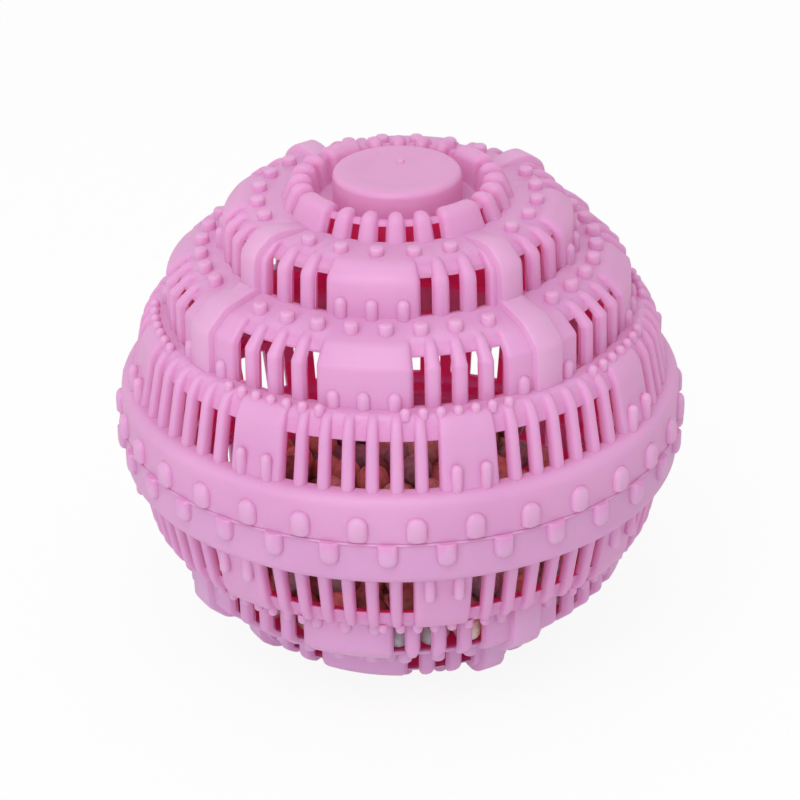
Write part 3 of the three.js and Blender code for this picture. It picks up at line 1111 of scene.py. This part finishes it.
@dataclass
class BeadCharge:
    """Loose ceramic beads heaped in the lower half."""

    extra: int = 215
    radius: float = 3.15
    spacing: float = 0.02
    least: float = 0.88
    seed: int = 7
    drop_radius: float = 34.0
    drop_heights: Span = (-26.0, 14.0)
    rounds: int = 260
    still_rounds: int = 40
    pushes: int = 4
    push_share: float = 0.7
    sink: float = 0.25
    wall_gap: float = 0.3
    segments: int = 10
    rings: int = 7
    inside: tuple[Span, ...] = (
        (46.5, 6.0), (46.5, -6.6), (45.1, -8.1), (42.9, -18.2), (38.4, -18.2), (38.2, -28.1), (28.5, -29.4),
        (28.1, -38.0), (0.0, -38.0),
    )

    def modelled(self, colour: BeadColour) -> list[str]:
        """Names of the colour's nodes."""
        prefix = f"bead_{colour.value}_"
        return sorted(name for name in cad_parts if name.startswith(prefix))

    def centres(self, names: list[str]) -> Array:
        """Centres of nodes in millimetres."""
        boxes = np.array([np.array(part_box(name), dtype=float) for name in names])
        return boxes.mean(axis=1) / METRES

    def heap(self, fixed: Array) -> tuple[Array, Array]:
        """Drops further beads on the fixed ones and lets them settle.

        In every round each loose bead sinks a little, and pairs that overlap and beads that reach into the
        wall are then pushed apart along the line between them. In the last rounds nothing sinks.

        Args:
            fixed: Centres of the beads that stay where they are.

        Returns:
            Centres and radii of the further beads.
        """
        rng = np.random.default_rng(self.seed)
        turn = rng.uniform(0.0, 2.0 * math.pi, self.extra)
        spread = self.drop_radius * np.sqrt(rng.uniform(0.0, 1.0, self.extra))
        height = np.linspace(*self.drop_heights, self.extra)
        loose = spun(spread, height, turn)
        size = self.radius * rng.uniform(self.least, 1.0, self.extra)
        sizes = np.concatenate([np.full(len(fixed), self.radius), size])
        reach = size[:, None] + sizes[None, :] + self.spacing
        for step in range(self.rounds):
            loose[:, 2] -= self.sink if step < self.rounds - self.still_rounds else 0.0
            for _ in range(self.pushes):
                loose += self._pushed_apart(loose, fixed, reach)
                loose += self._off_the_wall(loose, size)
        return loose, size

    def _pushed_apart(self, loose: Array, fixed: Array, reach: Array) -> Array:
        """Moves that part each loose bead from the beads that it overlaps, half as far from loose ones.

        Args:
            loose: Centres of the loose beads.
            fixed: Centres of the fixed ones.
            reach: Least distance of each loose bead from every bead.

        Returns:
            One move for each loose bead.
        """
        everyone = np.concatenate([fixed, loose])
        apart = loose[:, None, :] - everyone[None, :, :]
        distance = np.linalg.norm(apart, axis=2)
        own = np.arange(len(loose))
        distance[own, len(fixed) + own] = np.inf
        overlap = np.maximum(reach - distance, 0.0)
        overlap[:, len(fixed):] /= 2.0
        push = apart / np.maximum(distance, TINY)[:, :, None] * overlap[:, :, None]
        return self.push_share * np.sum(push, axis=1)

    def _off_the_wall(self, loose: Array, size: Array) -> Array:
        """Moves that bring each loose bead clear of the shell's stepped inside.

        Args:
            loose: Centres of the loose beads.
            size: Their radii.

        Returns:
            One move for each loose bead.
        """
        flat = np.stack([np.hypot(loose[:, 0], loose[:, 1]), loose[:, 2]], axis=-1)
        away = flat[:, None] - nearest_on(flat, np.array(self.inside))
        distance = np.linalg.norm(away, axis=2)
        short = np.maximum(size[:, None] + self.wall_gap - distance, 0.0)
        push = np.sum(away / np.maximum(distance, TINY)[:, :, None] * short[:, :, None], axis=1)
        outward = loose[:, :2] / np.maximum(flat[:, :1], TINY)
        return np.concatenate([outward * push[:, :1], push[:, 1:]], axis=1)

    def solid(self, centres: Array, sizes: Array) -> Solid:
        """Round beads: a grid of latitude and longitude at each centre.

        Args:
            centres: Centres of the beads.
            sizes: Their radii.

        Returns:
            The beads as one solid.
        """
        latitude = np.linspace(-math.pi / 2.0, math.pi / 2.0, self.rings + 1)
        profile = np.stack([np.cos(latitude), np.sin(latitude)], axis=-1)
        profile[[0, -1], 0] = 0.0
        ball = capped_turning(profile, self.segments)
        points = centres[:, None, :] + ball.points[None] * sizes[:, None, None]
        return Solid(points.reshape(-1, 3), copied(ball.faces, len(centres), len(ball.points)))

    def build(self) -> list[bpy.types.Object]:
        """One piece of beads for each colour, dressed and set on the charge's body.

        Returns:
            The finished pieces.
        """
        names = {colour: self.modelled(colour) for colour in BeadColour}
        placed = {colour: self.centres(names[colour]) for colour in BeadColour}
        loose, size = self.heap(np.concatenate(list(placed.values())))
        draw = np.random.default_rng(self.seed + 1).integers(0, len(BeadColour), len(loose))
        pieces = []
        for number, colour in enumerate(BeadColour):
            mine = draw == number
            centres = np.concatenate([placed[colour], loose[mine]])
            sizes = np.concatenate([np.full(len(placed[colour]), self.radius), size[mine]])
            name = f"{colour.value}_beads"
            piece = linked(name, self.solid(centres, sizes).mesh(name))
            piece.data.shade_smooth()
            piece.data.materials.append(BEAD_FINISHES[colour].material())
            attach(piece, "bead_charge")
            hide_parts(*names[colour])
            pieces.append(piece)
        return pieces


@dataclass(frozen=True)
class Bench:
    """Node tree of a material or of the world, with short ways to add what they share."""

    tree: bpy.types.NodeTree

    def feed(self, node: bpy.types.Node, inputs: Inputs) -> bpy.types.Node:
        """Fills inputs of a node: a socket is linked, and any other value is set.

        Args:
            node: Node of the tree.
            inputs: Sockets and values, by the names or numbers of the inputs.

        Returns:
            The same node.
        """
        for name, value in inputs.items():
            if isinstance(value, Socket):
                self.tree.links.new(value, node.inputs[name])
            else:
                node.inputs[name].default_value = value
        return node

    def add(self, kind: str, inputs: Inputs, **settings: str) -> bpy.types.Node:
        """New node.

        Args:
            kind: Blender's name for the kind of node.
            inputs: Sockets and values for its inputs.
            settings: Its settings, made before the inputs are filled.

        Returns:
            The node.
        """
        node = self.tree.nodes.new(kind)
        for name, value in settings.items():
            setattr(node, name, value)
        return self.feed(node, inputs)

    def principled(self, inputs: Inputs) -> Socket:
        """Output of the tree's own shader, with its inputs filled."""
        return self.feed(self.tree.nodes["Principled BSDF"], inputs).outputs["BSDF"]

    def noise(self, scale: float, detail: float) -> Socket:
        """Noise of a scale and detail, in the piece's own coordinates."""
        place = {"Vector": self.add("ShaderNodeTexCoord", {}).outputs["Object"]}
        return self.add("ShaderNodeTexNoise", {**place, "Scale": scale, "Detail": detail}).outputs["Fac"]

    def mapped(self, value: Socket, source: Span, target: Span) -> Socket:
        """Value carried over from one span to another."""
        ends = dict(zip(("From Min", "From Max", "To Min", "To Max"), (*source, *target)))
        return self.add("ShaderNodeMapRange", {"Value": value, **ends}).outputs["Result"]

    def bump(self, height: Socket, strength: float, distance: float) -> Socket:
        """Normal that is bent by a pattern of heights."""
        inputs = {"Height": height, "Strength": strength, "Distance": distance}
        return self.add("ShaderNodeBump", inputs).outputs["Normal"]

    def ramp(self, factor: Socket, *stops: tuple[float, Colour]) -> Socket:
        """Colour that runs from stop to stop with a factor.

        Args:
            factor: Place along the ramp.
            stops: Position and colour of each stop, in rising order.

        Returns:
            The colour.
        """
        node = self.add("ShaderNodeValToRGB", {"Fac": factor})
        elements = node.color_ramp.elements
        first, *between, last = stops
        for element, (position, colour) in zip(elements, (first, last)):
            element.position = position
            element.color = colour
        for position, colour in between:
            elements.new(position).color = colour
        return node.outputs["Color"]

    def maths(self, operation: str, first: object, second: object) -> Socket:
        """Result of an operation, by Blender's name for it, on two sockets or values."""
        return self.add("ShaderNodeMath", {0: first, 1: second}, operation=operation).outputs["Value"]

    def seen(self) -> Socket:
        """Socket that is 1 for rays from the camera, in reflections and through glass, and 0 for others.

        Returns:
            The output socket.
        """
        path = self.add("ShaderNodeLightPath", {}).outputs
        reflected = self.maths("MAXIMUM", path["Is Camera Ray"], path["Is Glossy Ray"])
        return self.maths("MAXIMUM", reflected, path["Is Transmission Ray"])

    def show(self, output: str, share: object, first: object, second: object) -> None:
        """Mixes two shaders by a share of the second, and sends them to the output node of a name."""
        mix = self.add("ShaderNodeMixShader", {"Fac": share, 1: first, 2: second})
        self.feed(self.tree.nodes[output], {"Surface": mix.outputs["Shader"]})


def new_material(name: str) -> tuple[bpy.types.Material, Bench]:
    """Material with nodes.

    Args:
        name: Name of the material.

    Returns:
        The new material, and the bench for its nodes.
    """
    material = bpy.data.materials.new(name)
    material.use_nodes = True
    return material, Bench(material.node_tree)


@dataclass(frozen=True)
class ShellPlastic:
    """Satin pink plastic that lets red light through, with faint flow marks and a fine moulded skin.

    A layer of the mesh holds the height over the moulding's smooth outside. Pips and other proud parts get a
    paler colour, a painted highlight, and grooves a deeper pink, a painted shade; the lining lets more light
    through than the skin, so that the inside glows red.
    """

    # Painted light by height: the groove colour is a painted shade in recesses, the proud colour a painted
    # highlight on pips and straps, and the face colour lies between.
    groove: Colour = (0.85, 0.43, 0.81, 1.0)
    face: Colour = (0.86, 0.50, 0.86, 1.0)
    proud_painted_highlight: Colour = (0.87, 0.56, 0.89, 1.0)
    painted_light_relief_range: Span = (-1.1, 1.1)
    flow_tint: Colour = (0.94, 0.90, 0.93, 1.0)
    through: Colour = (1.0, 0.13, 0.38, 1.0)
    skin_share: float = 0.3
    lining_share: float = 0.82
    lining_range: Span = (-1.74, -1.5)
    relief_layer: str = "relief"
    flow_scale: float = 38.0
    flow_detail: float = 3.0
    flow_stops: Span = (0.35, 0.68)
    skin_scale: float = 2600.0
    skin_detail: float = 2.0
    skin_depth: float = 0.06
    skin_height: float = 0.0001
    roughness: Span = (0.36, 0.48)
    scatter: float = 0.3
    scatter_radius: tuple[float, float, float] = (1.0, 0.4, 0.7)
    scatter_scale: float = 0.001

    def material(self) -> bpy.types.Material:
        """The plastic's material, made once.

        Returns:
            The material.
        """
        name = "pink_shell_plastic"
        if name in bpy.data.materials:
            return bpy.data.materials[name]
        material, bench = new_material(name)
        relief = bench.add("ShaderNodeAttribute", {}, attribute_name=self.relief_layer).outputs["Fac"]
        # Height over the smooth outside picks the colour: painted shade in grooves, painted highlight on
        # proud parts.
        level = bench.mapped(relief, self.painted_light_relief_range, UNIT)
        flow = bench.noise(self.flow_scale, self.flow_detail)
        flow_start, flow_end = self.flow_stops
        stain = bench.add("ShaderNodeMix", {
            "Factor": 1.0,
            "A": bench.ramp(level, (0.0, self.groove), (0.5, self.face), (1.0, self.proud_painted_highlight)),
            "B": bench.ramp(flow, (flow_start, self.flow_tint), (flow_end, WHITE)),
        }, data_type="RGBA", blend_type="MULTIPLY")
        skin = bench.noise(self.skin_scale, self.skin_detail)
        surface = bench.principled({
            "Base Color": stain.outputs["Result"],
            "Roughness": bench.mapped(flow, UNIT, self.roughness),
            "Normal": bench.bump(skin, self.skin_depth, self.skin_height),
            "Subsurface Weight": self.scatter,
            "Subsurface Radius": self.scatter_radius,
            "Subsurface Scale": self.scatter_scale,
        })
        shine = bench.add("ShaderNodeBsdfTranslucent", {"Color": self.through}).outputs["BSDF"]
        share = bench.mapped(relief, self.lining_range, (self.lining_share, self.skin_share))
        bench.show("Material Output", share, surface, shine)
        return material


@dataclass(frozen=True)
class BeadCeramic:
    """Fired ceramic of one colour, with speckles and fine pores."""

    name: str
    body: Colour
    speckle: Colour
    roughness: float = 0.55
    speckle_scale: float = 900.0
    speckle_detail: float = 4.0
    speckle_stops: Span = (0.42, 0.56)
    pore_scale: float = 2200.0
    pore_detail: float = 2.0
    pore_depth: float = 0.25
    pore_height: float = 0.0002

    def material(self) -> bpy.types.Material:
        """New material of the ceramic.

        Returns:
            The material.
        """
        material, bench = new_material(f"{self.name}_ceramic")
        grain = bench.noise(self.speckle_scale, self.speckle_detail)
        pores = bench.noise(self.pore_scale, self.pore_detail)
        start, end = self.speckle_stops
        bench.principled({
            "Base Color": bench.ramp(grain, (start, self.speckle), (end, self.body)),
            "Roughness": self.roughness,
            "Normal": bench.bump(pores, self.pore_depth, self.pore_height),
        })
        return material


BEAD_FINISHES = {
    BeadColour.CREAM: BeadCeramic("cream", (0.80, 0.74, 0.63, 1.0), (0.68, 0.58, 0.45, 1.0)),
    BeadColour.TERRACOTTA: BeadCeramic("terracotta", (0.80, 0.48, 0.40, 1.0), (0.66, 0.36, 0.28, 1.0)),
    BeadColour.BROWN: BeadCeramic("brown", (0.33, 0.16, 0.13, 1.0), (0.23, 0.105, 0.085, 1.0)),
    BeadColour.GREY: BeadCeramic("grey", (0.46, 0.47, 0.50, 1.0), (0.35, 0.36, 0.39, 1.0)),
}


@dataclass(frozen=True)
class SoftBox:
    """Square lamp that faces the ball: its place and side in metres, and its power in watts."""

    name: str
    place: tuple[float, float, float]
    side: float
    power: float

    def build(self) -> None:
        """Adds the lamp to the scene."""
        data = bpy.data.lights.new(self.name, "AREA")
        data.size = self.side
        data.energy = self.power
        lamp = linked(self.name, data)
        lamp.location = self.place
        across, forth, up = self.place
        lamp.rotation_euler = (0.0, math.atan2(math.hypot(across, forth), up), math.atan2(forth, across))


@dataclass
class Studio:
    """White room: floor, soft lamps and the camera."""

    floor_height: float = CAD_BOX[0][2] / METRES
    floor_half: float = 3.0
    floor_colour: Colour = (0.93, 0.93, 0.93, 1.0)
    floor_roughness: float = 0.9
    floor_white: float = 0.9
    ambient: float = 0.7
    lamps: tuple[SoftBox, ...] = (
        SoftBox("key_box", (-0.35, -0.8, 0.5), side=0.6, power=2.1),
        SoftBox("top_box", (-0.05, -0.5, 0.9), side=0.4, power=3.0),
    )
    camera_elevation: float = 27.91
    camera_azimuth: float = 8.49
    camera_roll: float = -0.83
    camera_distance: float = 485.4
    camera_aside: float = -0.065
    camera_up: float = 0.42
    lens: float = 123.47
    sensor: float = 36.0
    clip_start: float = 0.01

    def camera(self) -> None:
        """Camera at the photograph's angle: stepped back from the ball, rolled, raised and turned."""
        turn = Matrix.Rotation(math.radians(self.camera_azimuth), 4, "Z")
        rise = Matrix.Rotation(math.pi / 2.0 - math.radians(self.camera_elevation), 4, "X")
        roll = Matrix.Rotation(math.radians(self.camera_roll), 4, "Z")
        place = np.array([self.camera_aside, self.camera_up, self.camera_distance]) * METRES
        data = bpy.data.cameras.new("camera")
        data.lens = self.lens
        data.sensor_width = self.sensor
        data.clip_start = self.clip_start
        camera = linked("camera", data)
        camera.matrix_world = turn @ rise @ Matrix.Translation(place) @ roll
        bpy.context.scene.camera = camera

    def floor(self) -> None:
        """Pale floor that the ball stands on, close to pure white to the camera and in reflections."""
        half = self.floor_half / METRES
        corners = np.array([[-half, -half], [half, -half], [half, half], [-half, half]])
        points = np.column_stack([corners, np.full(len(corners), self.floor_height)])
        floor = linked("floor", Solid(points, (np.arange(len(points))[None, :],)).mesh("floor"))
        material, bench = new_material("white_floor")
        matt = bench.principled({
            "Base Color": self.floor_colour,
            "Roughness": self.floor_roughness,
            "Specular IOR Level": 0.0,
        })
        glow = bench.add("ShaderNodeEmission", {"Color": WHITE}).outputs["Emission"]
        bench.show("Material Output", bench.maths("MULTIPLY", bench.seen(), self.floor_white), matt, glow)
        floor.data.materials.append(material)

    def world(self) -> None:
        """Soft white surroundings, pure white to the camera and in reflections."""
        world = bpy.data.worlds.new("white_room")
        bpy.context.scene.world = world
        world.use_nodes = True
        bench = Bench(world.node_tree)
        soft = bench.feed(world.node_tree.nodes["Background"], {"Color": WHITE, "Strength": self.ambient})
        white = bench.add("ShaderNodeBackground", {"Color": WHITE, "Strength": 1.0})
        bench.show("World Output", bench.seen(), soft.outputs["Background"], white.outputs["Background"])

    def build(self) -> None:
        """Sets up the room, the lamps and the camera."""
        bpy.context.scene.view_settings.view_transform = "Standard"
        self.world()
        self.floor()
        for lamp in self.lamps:
            lamp.build()
        self.camera()


def main() -> None:
    """Builds the room, both half shells and the beads, and notes the sizes."""
    logging.basicConfig(level=logging.INFO, format="%(name)s: %(message)s")
    Studio().build()
    plastic = ShellPlastic()
    for half in Half:
        piece = HalfShell(half).build(plastic)
        log.info("%s: %d faces", piece.name, len(piece.data.polygons))
    for piece in BeadCharge().build():
        log.info("%s: %d faces", piece.name, len(piece.data.polygons))


if __name__ == "__main__":
    main()
